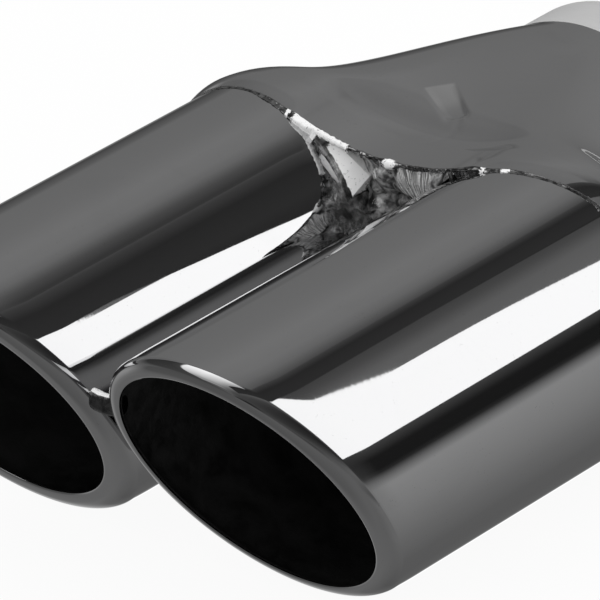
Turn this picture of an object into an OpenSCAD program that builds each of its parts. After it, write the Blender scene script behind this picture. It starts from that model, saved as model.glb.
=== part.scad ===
// Twin exhaust tip: two slash-cut outlet tubes, a pressed two-half shell that
// gathers them into one round neck, and a plain inlet collar.
// Origin: centre of the collar's open end. +Y points into the inlet, the mouths
// look towards -Y, +Z is up.

/* [Outlet tubes] */
// Outside diameter of each outlet tube
tube_od = 76; // [66:1:95]
// Wall of each outlet tube
tube_wall = 1.5; // [1:0.1:2.4]
// Clear gap between the two tubes
tube_gap = 1.8; // [1:0.2:12]
// Length of tube in front of the shell, along its axis to the middle of the mouth
tube_reach = 102.8; // [70:0.2:180]
// Length of tube inside the shell, where the shell's sockets are straight
tube_socket = 12.4; // [12:0.2:20]
// Slant of the mouths away from a square cut, in degrees
slash_angle = 31.2; // [10:0.2:40]

/* [Turned-in lips] */
// Width of the left tube's lip, from the tube's outside to the edge of the hole
lip_w_left = 6.9; // [4:0.1:9]
// Width of the right tube's lip
lip_w_right = 4.9; // [4:0.1:9]
// Outside radius of the bend between tube and lip
lip_bend = 3; // [2.6:0.1:3.6]

/* [Shell] */
// Sheet thickness of the two pressings
shell_wall = 1.2; // [0.8:0.1:2]
// Length of the shell, from the tubes' side to the neck
shell_len = 79.6; // [72:0.2:140]
// Angle by which the shell's front edge sweeps back over each tube, in degrees
edge_sweep = 12; // [0:0.5:12]
// Clearance between the tubes and the shell's sockets
socket_gap = 0.3; // [0.2:0.05:0.6]
// Width of the flush weld that joins the two pressings at each side
side_weld_w = 0.8; // [0.5:0.1:2]

/* [Inlet collar] */
// Bore of the inlet collar, the size of the pipe that enters it
collar_bore = 73; // [64:0.5:80]
// Wall of the collar
collar_wall = 1.5; // [1:0.1:2.5]
// Length of the collar in front of the neck
collar_len = 16.2; // [10:0.2:50]
// Height by which the neck stands proud of the collar
neck_step = 0.3; // [0.1:0.05:0.8]
// Width of the flush weld between neck and collar
neck_weld_w = 0.8; // [0.5:0.1:2]

/* [Weld beads] */
// Radius of the bead round each tube at the shell's edge
bead_r = 1.6; // [1:0.1:2.5]
// Length of the filler between the tubes, under the shell's edge
filler_len = 8; // [6.6:0.2:12]
// Height of the filler in front of the shell's edge
filler_proud = 0.8; // [0.4:0.1:2]
// Depth of the hollow in the filler's face
hollow_depth = 5.4; // [2:0.2:6]
// Length of the tack weld between the two mouths
tack_len = 5; // [4:0.5:20]
// Distance from the mouths' plane back to the tack weld
tack_back = 2.6; // [2.4:0.2:12]
// Height of the tack weld's middle above the tubes' centre line
tack_top = 13.5; // [9:0.5:16]
// Depth of the tack weld at its middle
tack_depth = 6; // [4:0.5:8]

/* [Dent in the upper shell] */
// Depth of the dent
dent_depth = 1.6; // [0:0.1:3]
// Half width of the dent across the shell
dent_w = 8; // [4:0.5:14]
// Half length of the dent along the shell
dent_l = 11; // [5:0.5:16]
// Distance from the shell's front edge to the dent's middle
dent_back = 27; // [20:1:40]

/* [Hidden] */
$fn = 96;
bend_fn = 32;

// Fixed stations along Y
neck_y = -collar_len;
edge_y = neck_y - shell_len;
mouth_y = edge_y - tube_reach;
taper_y = edge_y + tube_socket;
weld_y = neck_y - neck_weld_w;
taper_len = weld_y - taper_y;

// Radii and spread
tube_r = tube_od / 2;
half_spread = (tube_od + tube_gap) / 2;
slant = tan(slash_angle);
socket_r = tube_r + socket_gap + shell_wall;
collar_r = collar_bore / 2 + collar_wall;
neck_r = collar_r + neck_step;
overrun = tube_od / 20;

// Control points of the shell's side line behind the sockets, in plan: how far
// along the taper, and how much of the tubes' spread is left there
side_line_shares = [[0, 1], [0.25, 1], [0, 0.5], [0.55, 0.6], [1, 0]];
// How much the lobes draw in halfway along the taper, as a share of the tube's radius
waist_share = 0.026;
// Half width of the web between the lobes: a share of the spread where the tubes
// enter, and a share of the radius where the shell is round
web_spread_share = 0.65;
web_round_share = 0.2;
// Slope of the shell's edge, which always leaves some straight socket at the sides
sweep = min(tan(edge_sweep),
            (tube_socket - side_weld_w) / (socket_r + (1 - web_spread_share) * half_spread));
// Faces along the taper, round each lobe and across the web
taper_steps = 19;
lobe_steps = 14;
web_steps = 12;

// Fraction of the way down the crotch where the filler ends, of the tube's radius
filler_floor_share = 0.42;
// Hollow in the filler's face: its radius and its middle's height, in tube radii
hollow_share = 0.42;
hollow_z_share = 0.63;
// Bow of the tack weld's hollow top, as a radius in tube radii
tack_bow_share = 0.32;

// Bezier curve of the side line and its slope, at parameter t
function side_pt(t) =
    pow(1 - t, 4) * side_line_shares[0] + 4 * pow(1 - t, 3) * t * side_line_shares[1]
    + 6 * pow(1 - t, 2) * t * t * side_line_shares[2]
    + 4 * (1 - t) * pow(t, 3) * side_line_shares[3] + pow(t, 4) * side_line_shares[4];
function side_dir(t) =
    pow(1 - t, 3) * (side_line_shares[1] - side_line_shares[0])
    + 3 * pow(1 - t, 2) * t * (side_line_shares[2] - side_line_shares[1])
    + 3 * (1 - t) * t * t * (side_line_shares[3] - side_line_shares[2])
    + pow(t, 3) * (side_line_shares[4] - side_line_shares[3]);

// How much thicker than the sheet its square section is, where the side slopes
function slope_at(t) = half_spread * side_dir(t)[1] / (taper_len * side_dir(t)[0]);
function side_growth(t) = sqrt(1 + pow(slope_at(t), 2)) - 1;

// One station of the taper at parameter t: y, lobe offset, lobe radius and the
// half width of the web. inset is 0 outside and the sheet's thickness inside.
function taper_station(t, inset) = let (
    p = side_pt(t),
    c = half_spread * p[1] - inset * min(side_growth(t), p[1]),
    r = socket_r + (neck_r - socket_r) * p[0] - waist_share * tube_r * sin(180 * p[0]) - inset
) [taper_y + taper_len * p[0], c, r, web_spread_share * c + web_round_share * r * (1 - p[1])];

// Station number i: the open edge first, then the taper from socket to neck
function station(i, inset) = let (s = taper_station(max(i - 1, 0) / taper_steps, inset))
    i == 0 ? [edge_y, s[1], s[2], s[3]] : s;

// Point of the right-hand lobe at its own angle
function lobe_pt(s, a) = [s[1] + s[2] * cos(a), s[2] * sin(a)];
function lobe_end(s) = acos((s[3] - s[1]) / s[2]);

// Point of the web between the lobes, f from 0 at the right to 1 at the left
function web_pt(s, f) = let (
    a = lobe_end(s),
    e = lobe_pt(s, a),
    h = 2 / 3 * s[3] / pow(cos((90 - a) / 2), 2),
    q = e + h * [-sin(a), cos(a)]
) [e[0] * (pow(1 - f, 3) - pow(f, 3)) + 3 * (1 - f) * f * (1 - 2 * f) * q[0],
   e[1] * (pow(1 - f, 3) + pow(f, 3)) + 3 * (1 - f) * f * q[1]];

// Upper outline of a station, from the right-hand seam over the top to the left
function outline(s, low) = let (
    a0 = asin(low / s[2]),
    a1 = lobe_end(s)
) concat(
    [for (i = [0 : lobe_steps]) lobe_pt(s, a0 + (a1 - a0) * i / lobe_steps)],
    [for (i = [1 : web_steps - 1]) web_pt(s, i / web_steps)],
    [for (i = [lobe_steps : -1 : 0])
        let (p = lobe_pt(s, a0 + (a1 - a0) * i / lobe_steps)) [-p[0], p[1]]]
);

// Depth of the dent at a place on the upper shell, behind the straight sockets
function dent_at(x, y, depth) =
    depth * exp(-pow(x / dent_w, 2) - pow((y - edge_y - dent_back) / dent_l, 2));

// Place along Y of a station at x; only the open edge is swept back
function y_at(i, s, x) = s[0] + (i == 0 ? sweep * max(abs(x) - s[3], 0) : 0);

// Ring of space points of one station
function ring(i, inset, low, depth) = let (s = station(i, inset))
    [for (p = outline(s, low))
        let (y = y_at(i, s, p[0])) [p[0], y, p[1] - (i > 1 ? dent_at(p[0], y, depth) : 0)]];

// Two triangles for each cell of a grid of rows; flip turns them over
function cell(a, b, c, d, flip) = flip ? [[a, c, b], [a, d, c]] : [[a, b, c], [a, c, d]];
function skin(rows, cols, first, flip) = [
    for (i = [0 : rows - 2]) for (j = [0 : cols - 2])
        for (f = cell(first + i * cols + j, first + i * cols + j + 1,
                      first + (i + 1) * cols + j + 1, first + (i + 1) * cols + j, flip)) f];

// Closed sheet from an outer and an inner grid of points, row by row
module sheet(outer, inner) {
    rows = len(outer);
    cols = len(outer[0]);
    n = rows * cols;
    last = (rows - 1) * cols;
    front = [for (j = [0 : cols - 2]) for (f = cell(j, n + j, n + j + 1, j + 1, false)) f];
    back = [for (j = [0 : cols - 2])
        for (f = cell(last + j, last + n + j, last + n + j + 1, last + j + 1, true)) f];
    right = [for (i = [0 : rows - 2])
        for (f = cell(i * cols, (i + 1) * cols, n + (i + 1) * cols, n + i * cols, false)) f];
    left = [for (i = [0 : rows - 2])
        for (f = cell(i * cols + cols - 1, (i + 1) * cols + cols - 1,
                      n + (i + 1) * cols + cols - 1, n + i * cols + cols - 1, true)) f];
    polyhedron(
        points = concat([for (r = outer) for (p = r) p], [for (r = inner) for (p = r) p]),
        faces = concat(skin(rows, cols, 0, false), skin(rows, cols, n, true),
                       front, back, right, left));
}

// Upper pressing, with its side edges half a weld above the middle plane
module shell_half(depth) {
    stations = [0 : taper_steps + 1];
    sheet([for (i = stations) ring(i, 0, side_weld_w / 2, depth)],
          [for (i = stations) ring(i, shell_wall, side_weld_w / 2, depth)]);
}

// Flush weld along the right-hand side, between the two pressings
module side_weld() {
    stations = [0 : taper_steps + 1];
    function rim(i, inset) = let (s = station(i, inset), a = asin(side_weld_w / 2 / s[2]))
        [for (k = [-1, 1]) let (p = lobe_pt(s, k * a)) [p[0], y_at(i, s, p[0]), p[1]]];
    sheet([for (i = stations) rim(i, 0)], [for (i = stations) rim(i, shell_wall)]);
}

// Turns a shape made along +Z so that it runs along +Y
module along_y() {
    rotate([-90, 0, 0]) children();
}

// Half section of the turned-in lip: a bend, a flat ring and a round edge
module lip_section(lip_w) {
    bend_c = tube_r - lip_bend;
    hole_r = tube_r - lip_w;
    difference() {
        intersection() {
            translate([bend_c, lip_bend]) circle(r = lip_bend, $fn = bend_fn);
            translate([bend_c, 0]) square([lip_bend, lip_bend]);
        }
        translate([bend_c, lip_bend]) circle(r = lip_bend - tube_wall, $fn = bend_fn);
    }
    translate([hole_r + tube_wall / 2, 0]) square([bend_c - hole_r - tube_wall / 2, tube_wall]);
    translate([hole_r + tube_wall / 2, tube_wall / 2]) circle(d = tube_wall, $fn = bend_fn);
}

// Shears along the tube, which slants the mouth and leaves the tube round
module slash() {
    multmatrix([[1, 0, 0, 0], [0, 1, -slant, 0], [0, 0, 1, 0], [0, 0, 0, 1]]) children();
}

// One outlet tube on the Y axis, its mouth's middle at mouth_y
module outlet_tube(lip_w) {
    lip_room = tube_r * slant;
    translate([0, mouth_y, 0]) {
        slash() along_y() rotate_extrude() lip_section(lip_w);
        difference() {
            translate([0, -lip_room, 0]) along_y()
                cylinder(r = tube_r, h = taper_y - mouth_y + lip_room);
            translate([0, -lip_room - overrun, 0]) along_y()
                cylinder(r = tube_r - tube_wall, h = taper_y - mouth_y + lip_room + 2 * overrun);
            slash() translate([-tube_od, lip_bend - 2 * tube_od, -tube_od])
                cube([2 * tube_od, 2 * tube_od, 2 * tube_od]);
        }
    }
}

// Angle on a tube, from straight across, where the web leaves its lobe
function web_angle() = lobe_end(station(0, 0));

// Quarter-round bead on a tube standing along Z, through an angle
module bead(angle) {
    rotate_extrude(angle = angle) intersection() {
        translate([tube_r, 0]) circle(r = bead_r, $fn = bend_fn);
        translate([tube_r, -bead_r]) square([bead_r, bead_r]);
    }
}

// Bead round the right-hand tube's outer side, from web to web, along the swept edge
module tube_weld() {
    s = station(0, 0);
    translate([half_spread, edge_y + sweep * (half_spread - s[3]), 0])
        multmatrix([[1, 0, 0, 0], [sweep, 1, 0, 0], [0, 0, 1, 0], [0, 0, 0, 1]])
        along_y() rotate([0, 0, -web_angle()]) bead(2 * web_angle());
}

// Hollow-faced filler between the tubes, under the web
module crotch_weld() {
    s = station(0, shell_wall);
    floor_z = filler_floor_share * tube_r;
    hollow_r = hollow_share * tube_r;
    top = [for (i = [0 : web_steps]) web_pt(s, i / web_steps)];
    difference() {
        translate([0, edge_y + filler_len, 0]) rotate([90, 0, 0])
            linear_extrude(filler_len + filler_proud) difference() {
                polygon(concat(top, [[-s[3], floor_z], [s[3], floor_z]]));
                for (side = [-1, 1]) translate([side * half_spread, 0]) circle(r = tube_r);
            }
        translate([0, edge_y - filler_proud - hollow_r + hollow_depth, hollow_z_share * tube_r])
            sphere(r = hollow_r);
    }
}

// Short weld in the groove between the tubes, just behind the mouths
module tack_weld() {
    bow_r = tack_bow_share * tube_r;
    front_y = mouth_y - tack_top * slant + tack_back;
    translate([0, front_y + tack_len, 0]) rotate([90, 0, 0]) linear_extrude(tack_len)
        difference() {
            translate([-half_spread / 2, tack_top - tack_depth])
                square([half_spread, tack_depth + bow_r / 4]);
            for (side = [-1, 1]) translate([side * half_spread, 0]) circle(r = tube_r);
            translate([0, tack_top + bow_r]) circle(r = bow_r);
        }
}

module outlet_tube_left() {
    color("#3a3c3f") translate([-half_spread, 0, 0]) outlet_tube(lip_w_left);
}

module outlet_tube_right() {
    color("#3a3c3f") translate([half_spread, 0, 0]) outlet_tube(lip_w_right);
}

module upper_shell() {
    color("#46484b") shell_half(dent_depth);
}

module lower_shell() {
    color("#46484b") mirror([0, 0, 1]) shell_half(0);
}

module side_weld_left() {
    color("#5a5c5f") mirror([1, 0, 0]) side_weld();
}

module side_weld_right() {
    color("#5a5c5f") side_weld();
}

module inlet_collar() {
    color("#c9cbcc") translate([0, neck_y, 0]) along_y() difference() {
        cylinder(r = collar_r, h = collar_len);
        translate([0, 0, -overrun]) cylinder(d = collar_bore, h = collar_len + 2 * overrun);
    }
}

module collar_weld() {
    color("#5a5c5f") translate([0, weld_y, 0]) along_y() difference() {
        cylinder(r = neck_r, h = neck_weld_w);
        translate([0, 0, -overrun]) cylinder(d = collar_bore, h = neck_weld_w + 2 * overrun);
    }
}

module tube_weld_left() {
    color("#8c8e90") mirror([1, 0, 0]) tube_weld();
}

module tube_weld_right() {
    color("#8c8e90") tube_weld();
}

module crotch_weld_upper() {
    color("#8c8e90") crotch_weld();
}

module crotch_weld_lower() {
    color("#8c8e90") mirror([0, 0, 1]) crotch_weld();
}

module tube_tack_weld() {
    color("#8c8e90") tack_weld();
}

outlet_tube_left();
outlet_tube_right();
upper_shell();
lower_shell();
side_weld_left();
side_weld_right();
inlet_collar();
collar_weld();
tube_weld_left();
tube_weld_right();
crotch_weld_upper();
crotch_weld_lower();
tube_tack_weld();
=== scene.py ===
import bpy
import math
from mathutils import Matrix, Vector, noise


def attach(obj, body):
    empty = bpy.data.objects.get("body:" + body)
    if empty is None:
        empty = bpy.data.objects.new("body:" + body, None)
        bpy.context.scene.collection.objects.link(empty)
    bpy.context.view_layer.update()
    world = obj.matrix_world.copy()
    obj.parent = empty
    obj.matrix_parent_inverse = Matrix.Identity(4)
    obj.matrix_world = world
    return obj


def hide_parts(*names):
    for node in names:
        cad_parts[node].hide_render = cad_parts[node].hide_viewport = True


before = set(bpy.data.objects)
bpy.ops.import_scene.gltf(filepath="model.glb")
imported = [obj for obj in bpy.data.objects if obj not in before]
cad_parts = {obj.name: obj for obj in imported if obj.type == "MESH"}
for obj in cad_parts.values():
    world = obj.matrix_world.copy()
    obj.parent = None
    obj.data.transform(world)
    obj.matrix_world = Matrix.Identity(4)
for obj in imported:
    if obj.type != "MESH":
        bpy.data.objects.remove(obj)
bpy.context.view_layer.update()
print("frame loaded", len(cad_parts), "nodes")


# small helpers

def clearSelection():
    if bpy.context.object and bpy.context.object.mode != "OBJECT":
        bpy.ops.object.mode_set(mode="OBJECT")
    bpy.ops.object.select_all(action="DESELECT")


def settle(piece):
    # turn and place go into the mesh, and the object stays at the origin
    clearSelection()
    piece.select_set(True)
    bpy.context.view_layer.objects.active = piece
    bpy.ops.object.transform_apply(location=True, rotation=True, scale=True)


def fixNormals(piece, gap=1e-6):
    clearSelection()
    piece.select_set(True)
    bpy.context.view_layer.objects.active = piece
    bpy.ops.object.mode_set(mode="EDIT")
    bpy.ops.mesh.select_all(action="SELECT")
    bpy.ops.mesh.remove_doubles(threshold=gap)
    bpy.ops.mesh.normals_make_consistent(inside=False)
    bpy.ops.object.mode_set(mode="OBJECT")


def smooth(piece, degrees=35):
    clearSelection()
    piece.select_set(True)
    bpy.context.view_layer.objects.active = piece
    bpy.ops.object.shade_smooth_by_angle(angle=math.radians(degrees))


def toLinear(tone):
    v = tone / 255
    return v / 12.92 if v <= 0.04045 else ((v + 0.055) / 1.055) ** 2.4


# camera at the photograph's angle

view = dict(place=(1.2059657, -1.6308819, 0.9249993),
            right=(0.786948, 0.616507, -0.025146),
            up=(-0.247156, 0.352303, 0.902661),
            back=(0.565355, -0.704132, 0.429618),
            lens=544.0, sensor=36)

cameraData = bpy.data.cameras.new("photoCamera")
camera = bpy.data.objects.new("photoCamera", cameraData)
bpy.context.scene.collection.objects.link(camera)
turn = Matrix((view["right"], view["up"], view["back"])).transposed().to_4x4()
camera.matrix_world = Matrix.Translation(view["place"]) @ turn
cameraData.lens = view["lens"]
cameraData.sensor_width = view["sensor"]
cameraData.clip_end = 200
bpy.context.scene.camera = camera
print("camera set")


# studio: white all round, and for mirror rays a grey room whose walls run along the
# tip; each row is one section across it, as (angle, tone) from +X towards +Z

studio = dict(
    reflectance=0.62,
    rows=[
        (30, [(-180, 88), (-150, 78), (-120, 80), (-85, 84), (-61, 98), (-37, 115), (-13, 120),
              (-8, 95), (-3, 50), (0, 40), (9, 40), (20, 60), (40, 88), (62, 88), (90, 84),
              (107, 102), (122, 107), (140, 102), (173, 94)]),
        (45, [(-180, 80), (-163, 55), (-147, 130), (-143, 225), (-133, 236), (-128, 110),
              (-122, 80), (-103, 80), (-85, 84), (-61, 98), (-37, 115), (-13, 128),
              (-8, 100), (-3, 38), (0, 24), (9, 24), (12, 40), (18, 60), (40, 90),
              (53, 92), (62, 88), (71, 68), (77, 60), (84, 50), (92, 70), (100, 97),
              (107, 106), (122, 109), (140, 102), (173, 95)]),
        (52, [(-180, 80), (-163, 55), (-147, 130), (-132, 170), (-127, 110),
              (-122, 82), (-103, 80), (-85, 84), (-61, 98), (-37, 110), (-13, 110),
              (-8, 98), (-3, 60), (0, 50), (9, 44), (12, 44), (18, 50), (40, 70),
              (53, 80), (62, 75), (71, 66), (77, 60), (84, 60), (92, 80), (100, 98),
              (110, 106), (122, 108), (140, 102), (173, 94)]),
        (60, [(-180, 130), (-170, 120), (-160, 78), (-130, 147), (-120, 86), (-110, 76),
              (-60, 97), (-30, 97), (-20, 74), (-10, 83), (0, 89), (10, 73), (18, 33),
              (40, 35), (50, 42), (60, 58), (70, 80), (85, 98), (100, 104),
              (120, 104), (140, 99), (160, 90), (172, 90)]),
        (90, [(-180, 98), (-160, 130), (-150, 120), (-140, 101), (-130, 92), (-10, 88),
              (0, 78), (10, 70), (20, 33), (30, 31), (40, 50), (50, 54), (60, 70),
              (70, 90), (90, 100), (120, 100), (140, 95), (160, 85), (170, 85)]),
        (120, [(-180, 72), (-130, 76), (-10, 86), (0, 58), (10, 48), (20, 30), (40, 36),
               (60, 60), (80, 80), (120, 80), (150, 62), (170, 62)])],
    fades=[(30, 40), (46.5, 50), (54, 58), (66, 84), (96, 114)])

world = bpy.data.worlds.new("studioWorld")
bpy.context.scene.world = world
world.use_nodes = True
nodes, links = world.node_tree.nodes, world.node_tree.links
nodes.clear()


def mathNode(tree, kind, a, b=None):
    made = tree.nodes.new("ShaderNodeMath")
    made.operation = kind
    for spot, value in enumerate((a, b)):
        if value is None:
            continue
        if isinstance(value, (int, float)):
            made.inputs[spot].default_value = value
        else:
            tree.links.new(value, made.inputs[spot])
    return made.outputs[0]


def rangeNode(tree, value, low, high, toLow=0.0, toHigh=1.0, kind="LINEAR"):
    made = tree.nodes.new("ShaderNodeMapRange")
    made.interpolation_type = kind
    tree.links.new(value, made.inputs["Value"])
    for name, number in (("From Min", low), ("From Max", high),
                         ("To Min", toLow), ("To Max", toHigh)):
        made.inputs[name].default_value = number
    return made.outputs["Result"]


def mixColour(tree, factor, a, b):
    made = tree.nodes.new("ShaderNodeMix")
    made.data_type = "RGBA"
    for spot, value in ((0, factor), (6, a), (7, b)):
        if isinstance(value, (int, float)):
            made.inputs[spot].default_value = value
        elif isinstance(value, tuple):
            made.inputs[spot].default_value = value
        else:
            tree.links.new(value, made.inputs[spot])
    return made.outputs[2]


tree = world.node_tree
direction = nodes.new("ShaderNodeTexCoord").outputs["Generated"]
parts = nodes.new("ShaderNodeSeparateXYZ")
links.new(direction, parts.inputs[0])
around = mathNode(tree, "ARCTAN2", parts.outputs["Z"], parts.outputs["X"])
aroundShare = mathNode(tree, "ADD", mathNode(tree, "DIVIDE", around, 2 * math.pi), 0.5)
along = mathNode(tree, "MULTIPLY", mathNode(tree, "ARCCOSINE", parts.outputs["Y"]), 180 / math.pi)
shown = None
for number, (section, row) in enumerate(studio["rows"]):
    ramp = nodes.new("ShaderNodeValToRGB")
    stops = ramp.color_ramp.elements
    while len(stops) > 1:
        stops.remove(stops[0])
    stops[0].position = 1.0
    for spot, (angle, tone) in enumerate(row + [(180, row[0][1])]):
        value = toLinear(tone) / studio["reflectance"]
        place = (angle + 180) / 360
        stop = stops[-1] if angle == 180 else stops.new(place)
        stop.color = (value, value, value, 1)
    links.new(aroundShare, ramp.inputs[0])
    if shown is None:
        shown = ramp.outputs["Color"]
    else:
        low, high = studio["fades"][number - 1]
        shown = mixColour(tree, rangeNode(tree, along, low, high), shown, ramp.outputs["Color"])
rays = nodes.new("ShaderNodeLightPath")
background = nodes.new("ShaderNodeBackground")
links.new(mixColour(tree, rays.outputs["Is Glossy Ray"], (1, 1, 1, 1), shown),
          background.inputs["Color"])
worldOut = nodes.new("ShaderNodeOutputWorld")
links.new(background.outputs[0], worldOut.inputs[0])


def toneRamp(tree, value, stops, low, high):
    ramp = tree.nodes.new("ShaderNodeValToRGB")
    marks = ramp.color_ramp.elements
    while len(marks) > 1:
        marks.remove(marks[0])
    for spot, (number, tone) in enumerate(stops):
        level = toLinear(tone) / studio["reflectance"]
        place = (number - low) / (high - low)
        mark = marks[0] if spot == 0 else marks.new(place)
        mark.position = place
        mark.color = (level, level, level, 1)
    tree.links.new(rangeNode(tree, value, low, high), ramp.inputs[0])
    return ramp.outputs["Color"]


def screenMaterial(name, axis, stops, low, high, fadeStops=None):
    # a soft box or screen: its tone by a coordinate or by its angle round the tip
    made = bpy.data.materials.new(name)
    made.use_nodes = True
    tree = made.node_tree
    tree.nodes.clear()
    place = tree.nodes.new("ShaderNodeSeparateXYZ")
    tree.links.new(tree.nodes.new("ShaderNodeTexCoord").outputs["Object"], place.inputs[0])
    if axis == "angle":
        angle = mathNode(tree, "ARCTAN2", place.outputs["Z"], place.outputs["X"])
        value = mathNode(tree, "MULTIPLY", angle, 180 / math.pi)
    else:
        value = place.outputs[axis]
    colour = toneRamp(tree, value, stops, low, high)
    glow = tree.nodes.new("ShaderNodeEmission")
    if fadeStops:
        fade = tree.nodes.new("ShaderNodeMapRange")
        tree.links.new(place.outputs["Y"], fade.inputs["Value"])
        for key, number in zip(("From Min", "From Max", "To Min", "To Max"), fadeStops):
            fade.inputs[key].default_value = number
        colour = mixColour(tree, fade.outputs["Result"], (0.08, 0.08, 0.08, 1), colour)
    tree.links.new(colour, glow.inputs["Color"])
    out = tree.nodes.new("ShaderNodeOutputMaterial")
    tree.links.new(glow.outputs[0], out.inputs[0])
    return made


def hangScreen(name, columns, rows, place, material):
    # a sheet laid out by place(u, v), seen only by mirror rays
    clearSelection()
    bpy.ops.mesh.primitive_grid_add(x_subdivisions=columns, y_subdivisions=rows, size=1)
    screen = bpy.context.object
    screen.name = name
    for vertex in screen.data.vertices:
        vertex.co = place(vertex.co.x + 0.5, vertex.co.y + 0.5)
    screen.data.materials.append(material)
    for kind in ("camera", "diffuse", "transmission", "volume_scatter", "shadow"):
        setattr(screen, "visible_" + kind, False)
    return screen


sideBox = dict(radius=0.7, near=0.3, far=2.4, low=17.3, marks=[
    (0.3, 76), (0.35, 74), (0.4, 66), (0.437, 60), (0.448, 56), (0.458, 51.5), (0.5, 50.8),
    (0.52, 49.5), (0.533, 48.5), (0.577, 44),
    (0.65, 37), (0.75, 38), (0.85, 50), (1.0, 72), (2.4, 80)])


def sideBoxPlace(u, v):
    y = sideBox["near"] + (sideBox["far"] - sideBox["near"]) * u ** 2.2
    marks = sideBox["marks"]
    high = marks[-1][1]
    for (ya, a), (yb, b) in zip(marks, marks[1:]):
        if ya <= y <= yb:
            high = a + (b - a) * (y - ya) / (yb - ya)
    angle = math.radians(sideBox["low"] + (high - sideBox["low"]) * v)
    return Vector((sideBox["radius"] * math.cos(angle), y, sideBox["radius"] * math.sin(angle)))


hangScreen("sideBox", 80, 12, sideBoxPlace,
           screenMaterial("sideBoxLight", "Y", [(0.3, 244), (0.6, 250), (2.4, 250)], 0.3, 2.4))

topBox = dict(radius=0.3, near=-0.085, far=-0.75, low=8, high=172)


def topBoxPlace(u, v):
    angle = math.radians(topBox["low"] + (topBox["high"] - topBox["low"]) * v)
    y = topBox["near"] + (topBox["far"] - topBox["near"]) * u
    return Vector((topBox["radius"] * math.cos(angle), y, topBox["radius"] * math.sin(angle)))


hangScreen("topBox", 8, 90, topBoxPlace,
           screenMaterial("topBoxLight", "angle",
                          [(8, 75), (18, 50), (26, 33), (40, 32), (50, 42), (60, 60),
                           (68, 90), (76, 140), (86, 215), (100, 246), (119, 242),
                           (121, 60), (130, 47), (155, 44), (166, 90), (172, 98)],
                          8, 172, (-0.52, -0.1, 0.25, 1)))

darkScreen = dict(near=-0.3, far=0.42, foot=[(-0.3, 0.154), (-0.030, 0.154), (-0.022, 0.123), (-0.004, 0.092),
                                             (0.02, 0.084), (0.42, 0.084)],
                  lean=[(0.08, 0.076), (0.154, 0.088), (0.461, 0.04)], top=0.461)


def between(marks, value):
    # straight lines between marks
    for (ya, a), (yb, b) in zip(marks, marks[1:]):
        if value <= yb:
            return a + (b - a) * max(0, (value - ya) / (yb - ya))
    return marks[-1][1]


def darkScreenPlace(u, v):
    y = darkScreen["near"] + (darkScreen["far"] - darkScreen["near"]) * u
    foot = between(darkScreen["foot"], y)
    z = foot + (darkScreen["top"] - foot) * v
    return Vector((between(darkScreen["lean"], z), y, z))


hangScreen("darkScreen", 144, 40, darkScreenPlace,
           screenMaterial("darkScreenFelt", "Z", [(0.08, 34), (0.15, 42), (0.27, 37), (0.34, 49), (0.41, 56), (0.47, 66)],
                          0.08, 0.47))

backCard = dict(near=24, far=37, low=34, high=69, reach=1.5, start=(-0.01, -0.097, 0.03))


def backCardPlace(u, v):
    away = math.radians(backCard["near"] + (backCard["far"] - backCard["near"]) * u)
    angle = math.radians(backCard["low"] + (backCard["high"] - backCard["low"]) * v)
    aim = Vector((math.sin(away) * math.cos(angle), math.cos(away), math.sin(away) * math.sin(angle)))
    return Vector(backCard["start"]) + backCard["reach"] * aim


hangScreen("backCard", 4, 8, backCardPlace,
           screenMaterial("backCardLight", "Z", [(0.3, 250), (0.8, 250)], 0.3, 0.8))

floorPlan = dict(size=60, height=-0.0398, shadowShare=0.06)
clearSelection()
bpy.ops.mesh.primitive_plane_add(size=floorPlan["size"], location=(0, 0, floorPlan["height"]))
floor = bpy.context.object
floor.name = "floor"
settle(floor)
floor.visible_glossy = False
floorMaterial = bpy.data.materials.new("paleFloor")
floorMaterial.use_nodes = True
tree = floorMaterial.node_tree
tree.nodes.clear()
paper = tree.nodes.new("ShaderNodeBsdfDiffuse")
paper.inputs["Color"].default_value = (0.92, 0.92, 0.92, 1)
glow = tree.nodes.new("ShaderNodeEmission")
rays = tree.nodes.new("ShaderNodeLightPath")
blend = tree.nodes.new("ShaderNodeMixShader")
out = tree.nodes.new("ShaderNodeOutputMaterial")
tree.links.new(mathNode(tree, "MULTIPLY", rays.outputs["Is Camera Ray"], 1 - floorPlan["shadowShare"]),
               blend.inputs[0])
tree.links.new(paper.outputs[0], blend.inputs[1])
tree.links.new(glow.outputs[0], blend.inputs[2])
tree.links.new(blend.outputs[0], out.inputs[0])
floor.data.materials.append(floorMaterial)

bpy.context.scene.view_settings.view_transform = "Standard"
print("studio set")


# effects that several finishes share, each a node group with its own named sockets

def startGroup(name, wanted, given):
    group = bpy.data.node_groups.new(name, "ShaderNodeTree")
    for label, kind, value in wanted:
        made = group.interface.new_socket(name=label, in_out="INPUT", socket_type="NodeSocket" + kind)
        made.default_value = value
    for label, kind in given:
        group.interface.new_socket(name=label, in_out="OUTPUT", socket_type="NodeSocket" + kind)
    return group, group.nodes.new("NodeGroupInput").outputs, group.nodes.new("NodeGroupOutput").inputs


def vectorNode(tree, kind, a, b):
    made = tree.nodes.new("ShaderNodeVectorMath")
    made.operation = kind
    for spot, value in enumerate((a, b)):
        if isinstance(value, tuple):
            made.inputs[spot].default_value = value
        else:
            tree.links.new(value, made.inputs[spot])
    return made.outputs[0]


def noiseNode(tree, place, scale, detail=3.0, roughness=0.55, twist=0.0):
    made = tree.nodes.new("ShaderNodeTexNoise")
    tree.links.new(place, made.inputs["Vector"])
    if isinstance(scale, (int, float)):
        made.inputs["Scale"].default_value = scale
    else:
        tree.links.new(scale, made.inputs["Scale"])
    made.inputs["Detail"].default_value = detail
    made.inputs["Roughness"].default_value = roughness
    made.inputs["Distortion"].default_value = twist
    return made.outputs[0]


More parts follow.
